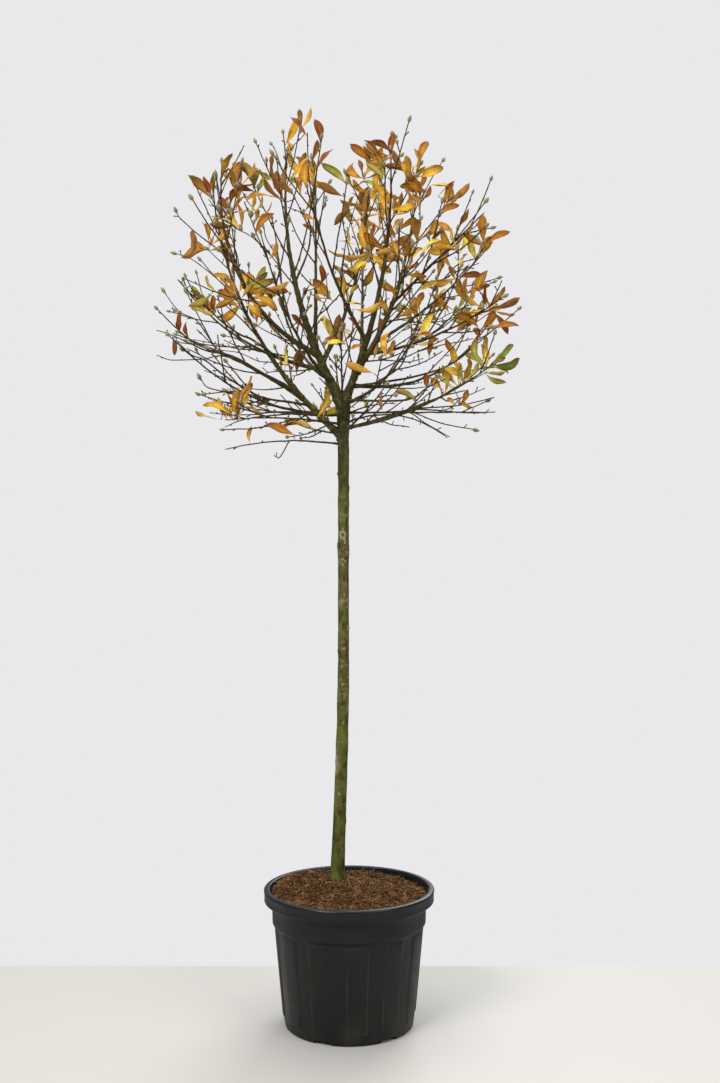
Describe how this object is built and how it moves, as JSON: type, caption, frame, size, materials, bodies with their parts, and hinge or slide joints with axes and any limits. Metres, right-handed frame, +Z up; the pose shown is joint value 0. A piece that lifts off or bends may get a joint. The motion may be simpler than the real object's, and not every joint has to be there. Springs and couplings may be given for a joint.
{
  "type": "magnolia tree in a nursery pot",
  "caption": "Young magnolia grown as a standard: a straight bare stem, a round open crown in autumn leaf with silky buds, and a black nursery pot of coir.",
  "frame": {"origin": "centre of the pot's flat underside, where it stands on the ground", "axes": "+Z up along the pot's axis; the picture looks along +Y, so -Y faces the viewer and +X is to the right"},
  "size_m": [1.0676, 1.0358, 2.6079],
  "materials": {
    "pot": "satin",
    "soil": "rough",
    "bark": "matte",
    "gold_foliage": "matte",
    "amber_foliage": "matte",
    "rust_foliage": "matte",
    "yellow_foliage": "matte"
  },
  "bodies": {
    "root": {"pot": "pot", "soil": "soil", "trunk": "bark", "left_top_bough": "bark", "right_top_bough": "bark", "left_outer_bough": "bark", "left_upper_bough": "bark", "left_high_bough": "bark", "left_middle_bough": "bark", "left_front_bough": "bark", "centre_left_bough": "bark", "centre_bough": "bark", "right_upper_bough": "bark", "right_outer_bough": "bark", "right_high_bough": "bark", "right_front_bough": "bark", "right_middle_bough": "bark", "right_low_bough": "bark", "front_high_bough": "bark", "front_left_bough": "bark", "front_right_bough": "bark", "front_low_bough": "bark", "back_high_bough": "bark", "back_left_bough": "bark", "back_right_bough": "bark", "back_low_bough": "bark", "left_top_foliage": "rust_foliage", "right_top_foliage": "gold_foliage", "left_outer_foliage": "rust_foliage", "left_upper_foliage": "rust_foliage", "left_high_foliage": "amber_foliage", "left_middle_foliage": "amber_foliage", "left_front_foliage": "amber_foliage", "left_back_low_foliage": "amber_foliage", "left_front_low_foliage": "gold_foliage", "left_lowest_foliage": "gold_foliage", "centre_left_foliage": "rust_foliage", "centre_foliage": "gold_foliage", "right_upper_foliage": "gold_foliage", "right_outer_foliage": "gold_foliage", "right_high_foliage": "gold_foliage", "right_front_foliage": "gold_foliage", "right_middle_foliage": "gold_foliage", "right_low_foliage": "yellow_foliage", "right_lowest_foliage": "gold_foliage", "right_drooping_foliage": "gold_foliage", "front_high_foliage": "gold_foliage", "front_left_foliage": "amber_foliage", "front_right_foliage": "gold_foliage", "front_low_foliage": "gold_foliage", "back_high_foliage": "gold_foliage", "back_left_foliage": "amber_foliage", "back_right_foliage": "gold_foliage", "front_lowest_foliage": "gold_foliage", "back_lowest_foliage": "gold_foliage", "back_low_foliage": "gold_foliage"}
  },
  "joints": []
}
